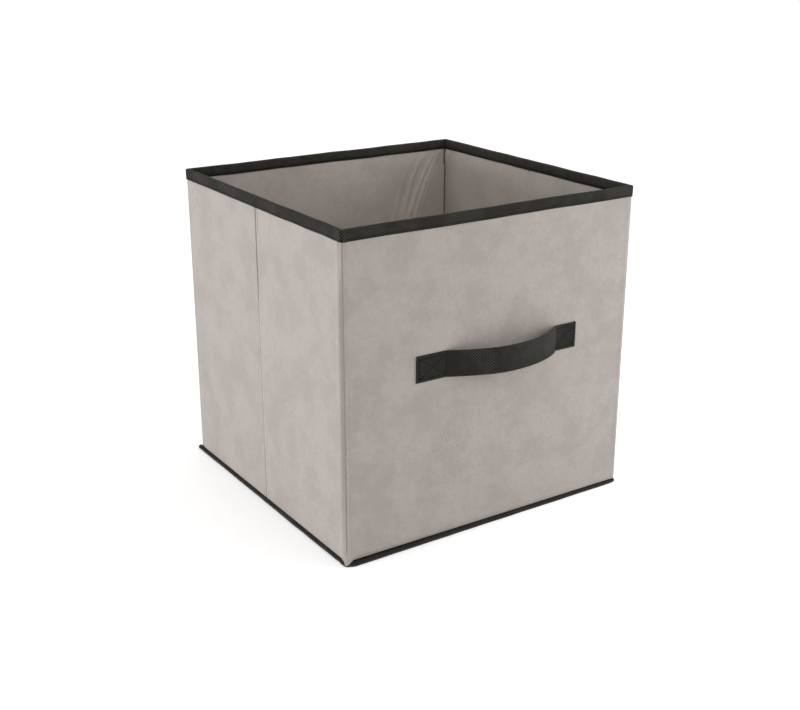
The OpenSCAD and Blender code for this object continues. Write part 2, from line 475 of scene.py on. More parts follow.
def thread_material(name, colour, highlight, gloss=0.5):
    """Twisted sewing thread."""
    n = Nodes(name)
    along, around, _ = n.uv()
    twist = n.math("ADD", n.times(along, 9000.0), n.times(around, 5000.0))
    ply = n.ramp(n.math("SINE", twist), -0.6, 0.8)
    return n.finish(Base_Color=n.mix(ply, shade(colour, 1), shade(highlight, 1)), Roughness=0.6,
                    Specular_IOR_Level=gloss, Sheen_Weight=0.4 * gloss,
                    Normal=n.bump(ply, 0.6, 0.05 * MM))


def cardboard_material():
    """Brown board with long fibres and dark specks."""
    n = Nodes("cardboard")
    place = n.add("ShaderNodeTexCoord", {})["Object"]
    stretched = n.add("ShaderNodeMapping", {"Scale": (1.0, 1.0, 6.0), "Vector": place})[0]
    fibres = n.noise(stretched, 260.0, 5.0, 0.65)
    specks = n.noise(place, 1400.0)
    colour = n.mix(n.ramp(fibres, 0.3, 0.7), (0.36, 0.25, 0.14, 1), (0.50, 0.37, 0.23, 1))
    colour = n.mix(n.ramp(specks, 0.62, 0.75, 0.0, 0.5), colour, (0.22, 0.15, 0.09, 1))
    return n.finish(Base_Color=colour, Roughness=0.85, Normal=n.bump(fibres, 0.5, 0.15 * MM))


COVER = nonwoven("cover_nonwoven", (0.296, 0.2635, 0.2445), 2.6)
LINING = nonwoven("lining_nonwoven", (0.372, 0.328, 0.300), 2.6, bond_shade=0.75)
TAPE = nonwoven("binding_tape", (0.0114, 0.0108, 0.0091), 2.8, cloud=0.85, bond_shade=5.8,
                wear_and_highlight_shade=2.6, depth=0.16, fuzz=0.02, gloss=0.12)
WEBBING_THREAD = thread_material("dark_thread", (0.0015, 0.0015, 0.0013), (0.005, 0.0048, 0.0042), 0.05)
PALE_THREAD = thread_material("pale_thread", (0.25, 0.22, 0.205), (0.36, 0.33, 0.305))
CARDBOARD = cardboard_material()


# ---- Fabric faces of the walls ----

HEM_T = 0.3 * MM  # how far the folded edge of a front or back cover stands out
HEM_STITCH = 2 * MM  # from that edge to its stitching
HEM_LEAN = 1.7 * MM  # the edge runs this much nearer the corner at the bottom
FOLD_DIP = {"rear": 0.40 * MM, "front": 0.10 * MM}
TIP_DROP = 2.4 * MM  # how far the tip at the front left corner hangs down
TIP_FLARE = 3.8 * MM  # and how far it stands out, over the bottom tape
TIP_REACH = {"front": 8 * MM, "side": 9 * MM}
UPRIGHT_SEAM = np.arange(WALL_Z + 3 * MM, RIM_Z - 1 * MM, 4 * MM)  # heights up a stitched line


def face_fade(s, z, length):
    """1 over the middle of a face, falling to 0 at its edges, where it is sewn."""
    upright = rise(z - WALL_Z, 0, 16) * rise(RIM_Z + 4 * MM - z, 0, 20)
    return plateau(s, length, 14 * MM) * upright


def bottom_dip(z):
    """The cover turns in where it is sewn to the base."""
    return -0.5 * MM * (1.0 - rise(z - WALL_Z, 0, 3))


def rim_dip(z):
    """Cloth pinched in by the rim binding."""
    return -0.7 * MM * rise(z - RIM_Z, 0.5, 1.5)


def edge_lift(kind, d):
    """Lift of a cover at d from one of its ends: a raised hem, a fold it dips into, or flush."""
    if kind == "hem":
        return HEM_T * (rise(d, 0, 0.5) - rise(d, 2.8, 3))
    if kind == "flush":
        return 0.0 * d
    return -FOLD_DIP[kind] * (1.0 - rise(d, 0, 1.9))


def hem_lean(z):
    return HEM_LEAN * (RIM_Z - z) / (RIM_Z - WALL_Z)


def tip_shape(d):
    """The hanging tip at d from its corner, above 0 on the front wall and below 0 on the side."""
    reach = np.where(d > 0, TIP_REACH["front"], TIP_REACH["side"])
    return np.clip(1.0 - np.abs(d) / reach, 0.0, 1.0) ** 1.35


def tip_flare(d, z):
    return TIP_FLARE * smooth(1.0 - (z - WALL_Z + TIP_DROP) / (12 * MM)) * tip_shape(d)


def outer_face(wall, start, end, seed, edges, tip=False):
    """A wall's outer cover between two plan points, with the kind of edge at each. tip says
    that the corner beside its start has a hanging tip."""
    length = distances([start, end])[1]
    along = np.subtract(end, start) / length
    path = start + along * edge_spread(length)[:, None]
    swell = 0.3 * MM
    slow = ripple(seed, 60 * MM, 200 * MM, 10)
    quick = ripple(seed + 1, 16 * MM, 50 * MM, 16)

    def lean(d, z):
        """The hem's lean, which dies away over the face beside it."""
        return hem_lean(z) * (1.0 - rise(d, 0, 30))

    def from_corner(s, z):
        return CORNER_STRIP + s - lean(s, z)

    def push(s, z):
        rough = swell + 0.28 * MM * slow(s, z) + 0.06 * MM * quick(s, z)
        lift = edge_lift(edges[0], s) + edge_lift(edges[1], length - s)
        if tip:
            lift = lift + tip_flare(from_corner(s, z), z)
        return rough * face_fade(s, z, length) + lift + bottom_dip(z)

    def foot(s):
        return -TIP_DROP * tip_shape(from_corner(s, WALL_Z))

    points, uv = wall_points(path, WALL_Z + edge_spread(CLOTH_H), push, foot if tip else None)
    s, z = uv[..., 0], uv[..., 1]
    low = (RIM_Z - z) / (RIM_Z - WALL_Z)
    # tone: a painted highlight, with some wear, along each hem's folded edge, stronger low down, and a
    # painted highlight beside the corner at a side panel's flush end.
    tone = 0.0 * s
    for kind, d, way in ((edges[0], s, -1), (edges[1], length - s, 1)):
        if kind == "hem":
            points[..., :2] += way * lean(d, z)[..., None] * along
            tone = tone + (0.1 + 0.6 * low) * bump(d, 0.5 * MM, 1.3 * MM)
        elif kind == "flush":
            tone = tone + 0.3 * bump(d, 2 * MM, 4 * MM)
    cloth_piece(wall + "_cover_fabric", points, uv, COVER, tone, wall,
                stands_for=[wall + "_cover"])


def hem_stitches(wall, side):
    """Stitching that runs up the folded edge of the front or back cover."""
    k, out = SIDES[side], WALLS[wall]
    x, y = k * (HALF_W - CORNER_STRIP), out * HALF_D
    line = [(x - k * (HEM_STITCH - hem_lean(z)), y + out * HEM_T, z) for z in UPRIGHT_SEAM]
    stitch_row(f"{wall}_{side}_hem_stitches", line, (0, out, 0), PALE_THREAD, wall)


def pucker(size, crest, lean=0.52, head=0.0, ridges=()):
    """Lining that stands off its board beside a corner, as lift(distance from the corner, z). Its
    crest starts at head below the rim and leans away on its way down. Each ridge is a finer fold:
    its distance from the corner at full depth, the bend of its line and its height."""
    full_depth = 75 * MM

    def lift(h, z):
        depth = np.maximum(RIM_Z + 3 * MM - z, 0.1 * MM)
        middle = np.maximum(crest * (np.maximum(depth - head, 0.0) / (full_depth - head)) ** lean, MM)
        flank = np.where(h < middle, smooth(h / middle), 1.0 - rise(h - middle, 0, 32))
        total = size * flank * rise(depth, 0, 40)
        ends = (1.0 - rise(depth, 60, 70)) * rise(depth, 0, 12)
        for reach, bend, height in ridges:
            line = reach * (depth / full_depth) ** bend
            total = total + height * bump(h, line, 2.2 * MM + 0.022 * depth) * ends
        fade = 1.0 - 0.7 * rise(depth, 70, 120)
        return total * fade * rise(z - WALL_Z, 0, 40)

    return lift


PLAIN_PUCKER = pucker(1 * MM, 26 * MM)
SIDE_PUCKER = pucker(1.5 * MM, 30 * MM)
DEEP_PUCKER = pucker(2.2 * MM, 44 * MM, 0.85, 12 * MM,
                     ((36 * MM, 0.66, 0.80 * MM), (43 * MM, 0.62, 1.40 * MM), (51 * MM, 0.53, 1.50 * MM),
                      (58 * MM, 0.30, 1.10 * MM), (70 * MM, 0.24, 0.70 * MM)))


def corner_pucker(wall, corner):
    """The pucker on a wall beside a corner such as back_right."""
    if corner == "back_right":
        return DEEP_PUCKER if wall == "back" else SIDE_PUCKER
    return PLAIN_PUCKER


def press_flat(obj):
    """Gives the lining a mesh of its own."""
    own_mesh(obj)


def inner_face(wall, start, end, seed, puckers, step=3 * MM):
    """A wall's lining between two plan points, with the pucker of the corner at each end."""
    path = plan_path([start, end], step=step)
    length = distances(path)[-1]
    slow = ripple(seed, 50 * MM, 180 * MM, 10)
    quick = ripple(seed + 1, 14 * MM, 45 * MM, 16)

    def push(s, z):
        rough = (0.40 * slow(s, z) + 0.09 * quick(s, z) + 0.35) * MM * face_fade(s, z, length)
        for lift, d in zip(puckers, (s, length - s)):
            if lift is not None:
                rough = rough + lift(d + LINING_CORNER, z)
        return rough

    points, uv = wall_points(path, spread(WALL_Z, CLOTH_TOP, step), push)
    obj = cloth_piece(wall + "_lining_fabric", points, uv, LINING, 0.0, wall,
                      stands_for=[wall + "_lining"])
    press_flat(obj)


def build_faces():
    """Covers and linings, each with its own seed. The side panels follow the bin's round."""
    x, y = HALF_W - CORNER_STRIP, HALF_D
    outer_face("front", (-x, -y), (x, -y), 11, ("hem", "hem"), tip=True)
    outer_face("back", (x, y), (-x, y), 21, ("hem", "hem"))
    for side in SIDES:
        hem_stitches("front", side)
        hem_stitches("back", side)
    for k, panel in enumerate(PANELS):
        ends, corner_first = panel_ends(panel, HALF_W, FOLD_EDGE, CORNER_EDGE)
        edges = ("flush", panel.split("_")[1])
        outer_face(panel, *ends, 31 + 10 * k, edges if corner_first else edges[::-1])

    x, y = IN_W - LINING_CORNER, IN_D
    inner_face("front", (x, -y), (-x, -y), 71, (PLAIN_PUCKER, PLAIN_PUCKER))
    inner_face("back", (-x, y), (x, y), 81, (PLAIN_PUCKER, DEEP_PUCKER), step=2.2 * MM)
    for k, panel in enumerate(PANELS):
        ends, corner_first = panel_ends(panel, IN_W, FOLD_EDGE, IN_D - LINING_CORNER)
        puckers = (None, SIDE_PUCKER if panel == "right_rear" else PLAIN_PUCKER)
        inner_face(panel, *ends[::-1], 91 + 10 * k, puckers if corner_first else puckers[::-1])


# ---- Fold lines and corners ----
# Each hinge is crossed by fabric of its own, which spans the two bodies. Its ends dive
# under the flat faces beside it.

def strip_ends(s, length):
    """Buries both ends of a crossing strip under the faces beside it."""
    return -0.6 * MM * (1.0 - plateau(s, length, LAP))


def bend_between(a, b, start, end):
    return (a, b, (*start, 0.0), (*end, 0.0))


def corner_bend(wall, side, half_w, half_d, inset=3 * MM):
    """The bend of what turns from the front or back wall onto a side panel."""
    k, out = SIDES[side], WALLS[wall]
    panel = side + ("_rear" if wall == "back" else "_front")
    return bend_between(wall, panel, (k * (half_w - inset), out * half_d), (k * half_w, out * TURN_END))


def front_left_bend(inset=3 * MM):
    """The same round the front left corner, from the side panel onto the front wall."""
    front, panel, start, end = corner_bend("front", "left", HALF_W, HALF_D, inset)
    return panel, front, end, start


def cover_corner(name, points, tip=False, bend=None, body=None, top=CLOTH_TOP):
    """Outer fabric round a vertical corner: it falls away on the side wall, turns the corner and
    runs in a groove under the hem of the front or back face. A tip hangs over the bottom seam."""
    path = plan_path(points, [COVER_RADIUS], step=0.9 * MM, arc_steps=8)
    s = distances(path)
    length = s[-1]
    at = s[np.argmin(np.linalg.norm(path - points[1], axis=1))]
    way = 1 if abs(path[-1][1]) > HALF_D - 0.1 * MM else -1

    def push(s, z):
        d = (s - at) * way
        groove = CORNER_STRIP - hem_lean(z) - 1.3 * MM
        fall = rise(d, -7.5, 5) * (1.0 - rise(d, -0.5, 2))
        out = strip_ends(s, length) + bottom_dip(z) + rim_dip(z) - (1.0 if tip else 0.4) * MM * fall
        return out - 0.05 * MM * bump(d, groove, 0.8 * MM)

    def foot(s):
        return -TIP_DROP * tip_shape((s - at) * way)

    grid, uv = wall_points(path, WALL_Z + edge_spread(top - WALL_Z), push, foot if tip else None)
    d, z = (uv[..., 0] - at) * way, uv[..., 1]
    if tip:
        # Close to the corner each side's flare leans along the other wall too, so they meet.
        along = 0.75 * smooth(1.0 - np.abs(d) / (5 * MM))
        grid[..., 0] -= tip_flare(d, z) * np.where(d > 0, along, 1.0)
        grid[..., 1] -= tip_flare(d, z) * np.where(d > 0, 1.0, along)
    # Painted shade darkens the strip on its side-wall part up to the corner, less towards the bottom and
    # the rim.
    side = rise(d, -7.5, 4) * (1.0 - rise(d, -1, 2))
    shade_relief = 0.45 * smooth(1.0 - z / (130 * MM)) + 0.55 * rise(z - RIM_Z, -50, 40)
    tone = -(0.70 if tip else 0.12) * side * (1.0 - shade_relief)
    cloth_piece(name, grid, uv, COVER, tone, body, bend)


def build_cover_corners():
    strip = CORNER_STRIP + LAP
    x, y = -HALF_W, HALF_D
    for side, k in SIDES.items():
        points = [(x + strip, y), (x, y), (x, CORNER_EDGE - LAP)]
        bend = corner_bend("back", side, HALF_W, HALF_D)
        cover_corner(side + "_back_corner_fabric", outward_order(points, k), bend=bend)
        points = [(x, -CORNER_EDGE + LAP), (x, -y), (x + strip, -y)]
        bend, top = (front_left_bend(), CLOTH_TOP) if side == "left" else (None, RIM_Z)
        cover_corner(side + "_front_corner_fabric", outward_order(points, k), k < 0, bend, "front", top)


def fold_bend(side, half, reach=FOLD_EDGE):
    x = SIDES[side] * half
    return bend_between(side + "_rear", side + "_front", (x, reach), (x, -reach))


def build_fold_strips():
    """The fabric that crosses the middle fold of each side wall, outside and inside."""
    reach = FOLD_EDGE + LAP
    heights = spread(WALL_Z, CLOTH_TOP, GRID)
    wander = ripple(17, 40 * MM, 140 * MM, 8)
    for side, k in SIDES.items():
        def shares(s, z):
            """The sewn band: a deep crease at its rear, a ridge and a stitched groove."""
            d = (s - reach) * -k + 0.2 * MM * wander(0.0 * s, z)
            strong = 0.25 + 0.75 * rise(z, 195, 50) + 0.2 * smooth(1 - z / (90 * MM))
            groove = bump(d, 3.3 * MM, 1 * MM) * rise(z - RIM_Z, -30, 14)
            return bump(d, -1 * MM, 1.6 * MM) * strong, bump(d, 1.4 * MM, 1.3 * MM), groove

        def push(s, z):
            crease, ridge, groove = shares(s, z)
            fold = -1.9 * crease + 0.3 * ridge - 0.35 * groove
            return strip_ends(s, 2 * reach) + fold * MM + bottom_dip(z) + rim_dip(z)

        path = plan_path(outward_order([(-HALF_W, reach), (-HALF_W, -reach)], k), step=0.3 * MM)
        points, uv = wall_points(path, heights, push)
        crease, ridge, groove = shares(uv[..., 0], uv[..., 1])
        # Painted shade darkens the crease and the stitched groove, and a painted highlight lightens the
        # ridge.
        tone = -1.7 * crease + 1.1 * ridge - 1.3 * groove
        bend = fold_bend(side, HALF_W)
        cloth_piece(side + "_fold_fabric", points, uv, COVER, tone, blend=bend)
        line = [(k * (HALF_W - 0.35 * MM), -3 * MM, z) for z in UPRIGHT_SEAM]
        stitch_row(side + "_fold_stitches", line, (k, 0, 0), PALE_THREAD, blend=bend)

        def push_lining(s, z):
            return strip_ends(s, 2 * reach) - 0.5 * MM * bump(s, reach, 1.6 * MM)

        path = plan_path(outward_order([(-IN_W, -reach), (-IN_W, reach)], k), step=0.5 * MM)
        points, uv = wall_points(path, heights, push_lining)
        cloth_piece(side + "_fold_lining", points, uv, LINING, 0.0, blend=fold_bend(side, IN_W))


def lining_corner(wall, side):
    """The lining of one inner corner, which runs into a narrow crease."""
    lip, deep = 1.7 * MM, 2.2 * MM
    strip = LINING_CORNER + LAP
    k, out = SIDES[side], WALLS[wall]
    x, y = -IN_W, IN_D
    points = [(x + strip, y), (x + lip, y), (x - deep, y + deep), (x, y - lip), (x, y - strip)]
    points = [(-k * x, out * y) for x, y in points][::k * out]
    path = plan_path(points, (0.6 * MM, 0.2 * MM, 0.6 * MM), step=0.8 * MM, arc_steps=5)
    s_path = distances(path)
    h_path = np.linalg.norm(np.abs(path) - (IN_W, IN_D), axis=1)
    on_wall = np.abs(path[:, 1:]) - IN_D > np.abs(path[:, :1]) - IN_W
    length = s_path[-1]
    corner = f"{wall}_{side}"

    def push(s, z):
        h = np.interp(s, s_path, h_path)
        lifted = np.where(on_wall, corner_pucker(wall, corner)(h, z), corner_pucker(side, corner)(h, z))
        away = smooth((np.abs(s - length / 2) - 2 * MM) / (2 * MM))
        return strip_ends(s, length) + lifted * away

    grid, uv = wall_points(path, spread(WALL_Z, CLOTH_TOP, GRID), push)
    if corner == "back_right":
        kink = rise(uv[..., 1] - RIM_Z, -20, 7)
        grid[..., 0] -= 1.3 * MM * kink * rise(RIM_Z - 1 * MM - uv[..., 1], 0, 4)
    # Painted shade darkens the crease at the middle of the corner.
    tone = -1.0 * smooth(bump(uv[..., 0], length / 2, 4 * MM) * 2)
    bend = None if corner == "front_right" else corner_bend(wall, side, IN_W, IN_D)
    obj = cloth_piece(corner + "_corner_lining", grid, uv, LINING, tone, wall, bend)
    if corner == "front_right":
        press_flat(obj)


def build_lining_corners():
    for side in SIDES:
        lining_corner("front", side)
        lining_corner("back", side)


build_faces()
build_cover_corners()
build_fold_strips()
build_lining_corners()


# ---- Rim binding ----

RIM_HALF = WALL_T / 2 + TAPE_T + 0.12 * MM  # half the thickness of the bound edge
RIM_OUT = RIM_HALF - WALL_T / 2  # how far its faces stand off the wall's
RIM_STITCH = 1.9 * MM  # from its lower edge to its stitching
RIM_RADIUS = 2.2 * MM


def rim_section(grow=0.0):
    """Tape folded over the top edge: outer face, crisp top, inner face, and its hollow."""
    middle = -WALL_T / 2
    half = RIM_HALF + grow
    turn, lip = 1.3 * MM, 0.2 * MM
    out = middle + half
    outside = [(out - lip, RIM_Z - grow), (out, RIM_Z + 0.5 * MM), (out - lip, RIM_Z + RIM_STITCH),
               (out, RIM_Z + 3.4 * MM), (out, RIM_Z + 6 * MM)]
    outside += arc((out - turn, TOP_Z - turn), turn, 0, 90, 6)
    outside += arc((middle - half + turn, TOP_Z - turn), turn, 90, 180, 6)
    outside += [(2 * middle - x, z) for x, z in outside[4::-1]]
    half -= TAPE_T
    left, right, under = middle - half, middle + half, TOP_Z - 2 * TAPE_T
    inside = [(left, RIM_Z - grow), (left, RIM_Z + 4 * MM), (left, under), (right, under),
              (right, RIM_Z + 4 * MM), (right, RIM_Z - grow)]
    return outside + inside


def rim_tone(section):
    """Lighter where the two upper edges wear, pressed along the stitching, with painted light on the
    inner face above the stitching and a painted shadow along the lower edge.
    """
    x, z = np.array(section).T
    from_middle = np.abs(x + WALL_T / 2)
    edges = bump(z, TOP_Z - 0.4 * MM, 1.2 * MM) * rise(from_middle, 0.8, 0.8)
    # Painted light on the inner face above the stitching.
    inner = smooth((-WALL_T / 2 - x) / MM) * rise(z - RIM_Z - RIM_STITCH, 0, 2)
    # Pressed along the stitching, and a painted shadow along the lower edge.
    pressed = 0.5 * bump(z, RIM_Z + RIM_STITCH, 1.2 * MM) + 0.6 * bump(z, RIM_Z, 1 * MM)
    return 0.35 * edges + 0.80 * inner - pressed


def shifts(out, up):
    return np.stack([out, up], axis=1)


def rim_run(wall, start, end, seed):
    """A straight run of the rim binding, stitched on both faces but for its open end."""
    name = wall + "_rim_tape"
    bare = 5 * MM if wall == "right_front" else 0.0  # the part that runs on into the corner
    length = distances([start, end])[1]
    wave = ripple(seed, 30 * MM, 160 * MM, 10)

    def wobble(s):
        fade = plateau(s, length, 20 * MM)
        return shifts(0.28 * MM * wave(s, s * 0.0) * fade, 0.26 * MM * wave(s + 0.3, s * 0.0) * fade)

    section = rim_section()
    tape_piece(name, [start, end], 0.0, section, wobble, 3 * MM, rim_tone(section), wall,
               stands_for=[wall + "_rim_binding"])
    path = plan_path([start, end], step=3 * MM)
    s, normal = path_frame(path)
    path, normal, shift = path[s >= bare], normal[s >= bare], wobble(s[s >= bare])
    for face, out in (("outer", RIM_OUT - 0.1 * MM), ("inner", -WALL_T - RIM_OUT + 0.1 * MM)):
        plan = path + normal * (out + shift[:, :1])
        line = np.column_stack([plan, RIM_Z + RIM_STITCH + shift[:, 1]])
        facing = np.column_stack([normal * math.copysign(1.0, out), np.zeros(len(path))])
        stitch_row(f"{name}_{face}_stitches", line, facing, WEBBING_THREAD, wall)


def rim_corner(name, points, crease, bend=None, body=None):
    """The binding folded round a corner, with a crease of some depth between two raised laps."""
    section = rim_section(0.07 * MM)
    at = distances(points)[1] - 0.6 * MM

    def laps(s):
        return bump(s, at - 2.3 * MM, 1.4 * MM) + bump(s, at + 2.3 * MM, 1.4 * MM)

    def wobble(s):
        return shifts(crease * (0.25 * MM * laps(s) - 0.5 * MM * bump(s, at, 0.9 * MM)), 0.0 * s)

    def tone(s):
        # Lighter on the raised laps; painted shade darkens the crease.
        round_corner = 0.4 * laps(s) - 1.0 * crease * bump(s, at, 1 * MM)
        return rim_tone(section)[None, :] + round_corner[:, None]

    tape_piece(name, points, RIM_RADIUS, section, wobble, 0.5 * MM, tone, body, bend)


def rim_fold(name, points, bend):
    """The binding where a side wall folds: kinked outward and a little sunk."""
    section = rim_section(0.12 * MM)
    middle = distances(points)[1] / 2

    def wobble(s):
        kink = 0.3 * bump(s, middle + 1 * MM, 2.5 * MM) - 0.5 * bump(s, middle - 2 * MM, 1.6 * MM)
        return shifts(kink * MM, -0.1 * MM * bump(s, middle, 4 * MM))

    tape_piece(name, points, 0.0, section, wobble, 0.5 * MM, rim_tone(section), blend=bend)


def build_rims():
    end_x = HALF_W - 5 * MM
    near, far = 4 * MM, CORNER_EDGE
    open_end = IN_D - RIM_OUT - 0.38 * MM  # where the right front corner's own tape ends
    x, y = -HALF_W, HALF_D
    runs = {"front": [(-end_x, -y), (end_x, -y)], "back": [(end_x, y), (-end_x, y)]}
    for panel in PANELS:
        runs[panel] = panel_ends(panel, HALF_W, near, far)[0]
    runs["right_front"][0] = (HALF_W, -open_end + 0.05 * MM)
    for k, (wall, ends) in enumerate(runs.items()):
        rim_run(wall, *ends, 131 + 6 * k)
    over = 1 * MM  # how far a piece over a hinge laps the runs beside it
    for side, k in SIDES.items():
        points = outward_order([(x, near + over), (x, -near - over)], k)
        rim_fold(side + "_fold_rim_tape", points, fold_bend(side, HALF_W, near))
        points = [(-end_x + over, y), (x, y), (x, far - over)]
        bend = corner_bend("back", side, HALF_W, HALF_D, 4 * MM)
        rim_corner(side + "_back_corner_rim_tape", outward_order(points, k), 0.1, bend)
        bend, crease, reach = None, 0.1, open_end
        if side == "left":
            bend, crease, reach = front_left_bend(4 * MM), 1.0, far - over
        points = [(x, -reach), (x, -y), (-end_x + over, -y)]
        rim_corner(side + "_front_corner_rim_tape", outward_order(points, k), crease, bend, "front")


build_rims()


# ---- Bottom seam and base fabric ----


def gather(obj):
    """Gives the fabric under the bin a mesh of its own."""
    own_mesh(obj)


def seam_section():
    """Tape round the seam allowance: a crevice at the wall, then it swells and droops outward
    to a round edge. Places are shares of its reach and of its height."""
    shape = [(-1.0, 0.03), (0.30, 0.0), (0.66, 0.0), (0.86, 0.05), (0.97, 0.22), (1.0, 0.42),
             (0.95, 0.64), (0.82, 0.83), (0.64, 0.95), (0.46, 0.99), (0.30, 0.92), (0.16, 0.74),
             (0.05, 0.62), (-1.0, 0.60)]
    return [(x * SEAM_OUT, z * SEAM_H) for x, z in shape]


def seam_run(side, points, seed, inset=0.0, taper=0.0, start_in=0.0, end_in=0.0):
    """A run of the bottom tape, drawn in by inset, by taper more and more towards its end, and
    once more close to its start and its end."""
    radius, step = 3 * MM, 2.5 * MM
    length = distances(plan_path(points, [radius] * (len(points) - 2), step=step))[-1]
    wave = ripple(seed, 12 * MM, 90 * MM, 12)

    def wobble(s):
        fade = plateau(s, length, 8 * MM)
        out = 0.28 * MM * (wave(s, s * 0.0) - 0.8) * fade - inset - taper * s / length
        out = out - start_in * (1.0 - rise(s, 5, 8))
        out = out - end_in * (1.0 - rise(length - s, 6, 8))
        return shifts(out, 0.0 * s)

    section = seam_section()
    x, z = np.array(section).T
    # Lighter round the outer edge, partly wear and partly a painted highlight; painted shade darkens the
    # crevice at the wall.
    edge_wear_and_highlight = 0.9 * bump(z, 0.4 * SEAM_H, 0.45 * SEAM_H) * (x > 0.8 * SEAM_OUT)
    tone = edge_wear_and_highlight - 0.9 * (x < 0.2 * SEAM_OUT)
    gather(tape_piece(side + "_bottom_tape", points, radius, section, wobble, step, tone, "back",
                      stands_for=[side + "_bottom_binding"]))


def build_base():
    wrap = 7 * MM  # how far the front and back tapes run on round the corners
    short = wrap - 2 * MM
    x, y = HALF_W, HALF_D
    seam_run("front", [(-x, -y + wrap), (-x, -y), (x, -y), (x, -y + wrap)], 163,
             taper=3.4 * MM, start_in=2.8 * MM, end_in=0.4 * MM)
    seam_run("back", [(x, y - wrap), (x, y), (-x + 1 * MM, y)], 167)
    seam_run("left", [(-x, y + 4.5 * MM), (-x, -y + short)], 173, inset=2.6 * MM, end_in=0.5 * MM)
    seam_run("right", [(x, -y + short), (x, y - short)], 179, inset=3.6 * MM, taper=-3.6 * MM)
    wide, deep = x - 3 * MM, y - 3 * MM
    grid = np.meshgrid(spread(-wide, wide, 8 * MM), spread(-deep, deep, 8 * MM), indexing="ij")
    points = np.stack([*grid, np.full(grid[0].shape, 0.6 * MM)], axis=-1)
    gather(cloth_piece("base_cloth", points, points[..., :2], COVER, 0.0, "back",
                       stands_for=["base_fabric"]))


build_base()


# ---- Base insert ----

def round_rectangle(half_x, half_y, corner):
    """Plan points round a rectangle with round corners, as many for any size."""
    arc_points, side_steps = 10, 58
    ring = []
    for turn, sx, sy in ((0, 1, 1), (90, -1, 1), (180, -1, -1), (270, 1, -1)):
        middle = (sx * (half_x - corner), sy * (half_y - corner))
        ring += arc(middle, corner, turn, turn + 90, arc_points)
    ring = np.array(ring)
    dense = []
    for k, (a, b) in enumerate(zip(ring, np.roll(ring, -1, axis=0))):
        steps = side_steps if k % arc_points == arc_points - 1 else 1
        dense += [a + (b - a) * i / steps for i in range(steps)]
    return np.array(dense)


def build_insert():
    """Fabric-wrapped board: soft edges, a stitched channel round the top, a faint crown."""
    half = np.subtract(insert_hi, insert_lo) / 2
    middle = np.add(insert_hi, insert_lo) / 2
    corner = 1 * MM
    edge = 1.3 * MM
    channel = 7 * MM  # from the edge to the stitched channel
    groove = 1.6 * MM  # half the channel's width
    crown = half[2] - 0.05 * MM
    inner_top = crown - 0.12 * MM
    turns = np.linspace(0, math.pi / 2, 5)
    profile = [(-edge * (1 - math.sin(t)), -half[2] + edge * (1 - math.cos(t))) for t in turns]
    profile += [(-edge * (1 - math.cos(t)), half[2] - edge * (1 - math.sin(t))) for t in turns]
    profile += [(-channel + groove, crown), (-channel, crown - 0.45 * MM), (-channel - groove, crown)]

    def ring(out, z):
        plan = round_rectangle(half[0] + out, half[1] + out, max(corner + out, 0.3 * MM))
        return np.column_stack([plan, np.full(len(plan), z)])

    rows = [ring(out, z) for out, z in profile]
    dimple = ripple(7, 40 * MM, 160 * MM, 12)
    for share in np.linspace(0.94, 0.08, 14):
        wide, deep = share * (half[0] - channel), share * (half[1] - channel)
        plan = round_rectangle(wide, deep, deep * (0.95 - 0.9 * share))
        rows.append(np.column_stack([plan, inner_top + 0.1 * MM * dimple(*plan.T)]))
    count = len(rows[0])
    verts = np.concatenate(rows + [[[0.0, 0.0, inner_top], [0.0, 0.0, -half[2]]]]) + middle
    top, bottom = len(verts) - 2, len(verts) - 1
    faces = ring_faces(len(rows), count)
    last = (len(rows) - 1) * count
    for k in range(count):
        b = (k + 1) % count
        faces += [(last + k, last + b, top), (b, k, bottom)]
    obj = new_mesh("insert_fabric", verts, faces, verts[:, :2], LINING, sharp_deg=60)
    finish_piece(obj, "insert", stands_for=["insert_top_cover", "insert_bottom_cover"])
    line = ring(-channel, crown - 0.4 * MM)
    line = np.concatenate([line, line[:1]]) + middle
    stitch_row("insert_stitches", line, (0, 0, 1), PALE_THREAD, "insert")


build_insert()


# ---- Handle ----

STRAP_T = 1.6 * MM
STRAP_Z = (strap_lo.z + strap_hi.z) / 2
STRAP_HALF = (strap_hi.z - strap_lo.z) / 2
BOW_OUT = -HALF_D - strap_lo.y  # how far the bow's face stands off the wall
TAB_END_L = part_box("handle_left_tab")[0].x
TAB_END_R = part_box("handle_right_tab")[1].x
BOW_L = TAB_END_L + 32 * MM  # where the bow leaves each tab
BOW_R = TAB_END_R - 25 * MM


def bow_path():
    """Plan path of the strap's inner face: two tabs on the wall and a bow that leans right."""
    bow = (1 - np.cos(np.linspace(0, math.pi, 60))) / 2
    x = np.concatenate([spread(TAB_END_L, BOW_L, 2 * MM)[:-1], BOW_L + (BOW_R - BOW_L) * bow,
                        spread(BOW_R, TAB_END_R, 2 * MM)[1:]])
    u = np.clip((x - BOW_L) / (BOW_R - BOW_L), 0.0, 1.0)
    left = np.sin(math.pi * np.minimum(u, 0.5))
    right = np.sin(math.pi / 2 * np.power(2 * (1 - np.maximum(u, 0.5)), 0.75))
    out = (BOW_OUT - STRAP_T) * np.where(u < 0.5, left, right)
    points = np.stack([x, -HALF_D - out], axis=1)
    for _ in range(2):
        points[1:-1] = points[1:-1] * 0.5 + (points[:-2] + points[2:]) * 0.25
    return points


def strap_section():
    """Doubled strap: flat faces with round edges and a pressed line beside each edge."""
    r = STRAP_T / 2
    rows = 16
    low, high = STRAP_Z - STRAP_HALF + r, STRAP_Z + STRAP_HALF - r
    step = (high - low) / rows
    pressed = (2, rows - 2)
    outer = [(STRAP_T - 0.14 * MM * (k in pressed), low + step * k) for k in range(1, rows)]
    inner = [(0.0, high - step * k) for k in range(1, rows)]
    return np.array(arc((r, low), r, 180, 360, 7) + outer + arc((r, high), r, 0, 180, 7) + inner)


